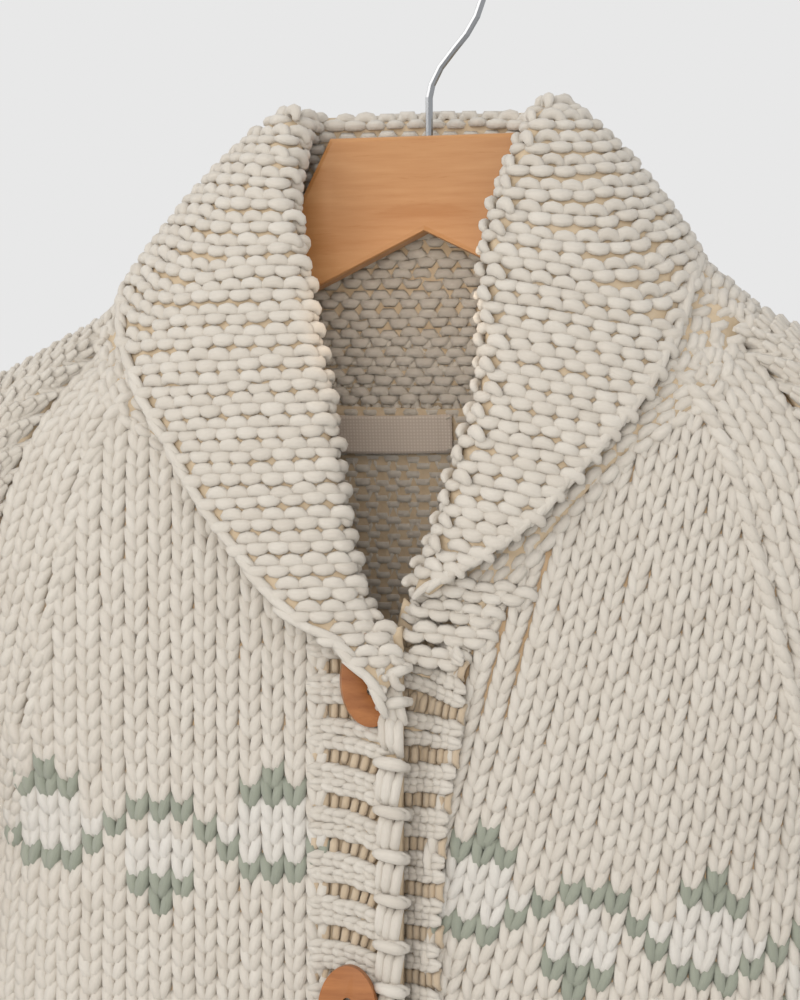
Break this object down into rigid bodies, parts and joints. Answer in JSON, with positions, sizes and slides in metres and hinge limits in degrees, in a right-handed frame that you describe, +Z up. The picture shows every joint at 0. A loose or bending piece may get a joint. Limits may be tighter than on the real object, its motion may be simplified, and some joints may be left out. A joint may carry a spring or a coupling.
{
  "type": "cardigan",
  "caption": "Chunky hand-knitted raglan cardigan with a folded shawl collar, ribbed button bands and toggle buttons, hanging on a wooden hanger.",
  "frame": {"origin": "inner top of the hook, where it rests on the rod", "axes": "+Z up, -Y towards the garment's front, +X towards the wearer's left sleeve"},
  "size_m": [0.61, 0.1301, 0.7808],
  "materials": {
    "wool": "undyed chunky wool, hand knitted, with a sage green pattern band in the visual model",
    "beech": "oiled beech",
    "steel": "polished chrome on steel wire",
    "toggle": "waxed maple",
    "cotton": "undyed cotton tape, blank"
  },
  "bodies": {
    "root": {"front_right": "wool", "front_left": "wool", "back_panel": "wool", "sleeve_right": "wool", "sleeve_left": "wool", "cuff_right": "wool", "cuff_left": "wool", "welt_front_right": "wool", "welt_front_left": "wool", "welt_back": "wool", "collar": "wool", "band_right": "wool", "band_left": "wool", "button_1": "toggle", "button_2": "toggle", "button_3": "toggle", "button_4": "toggle", "label": "cotton", "hanger_board": "beech", "hanger_hook": "steel"}
  },
  "joints": []
}
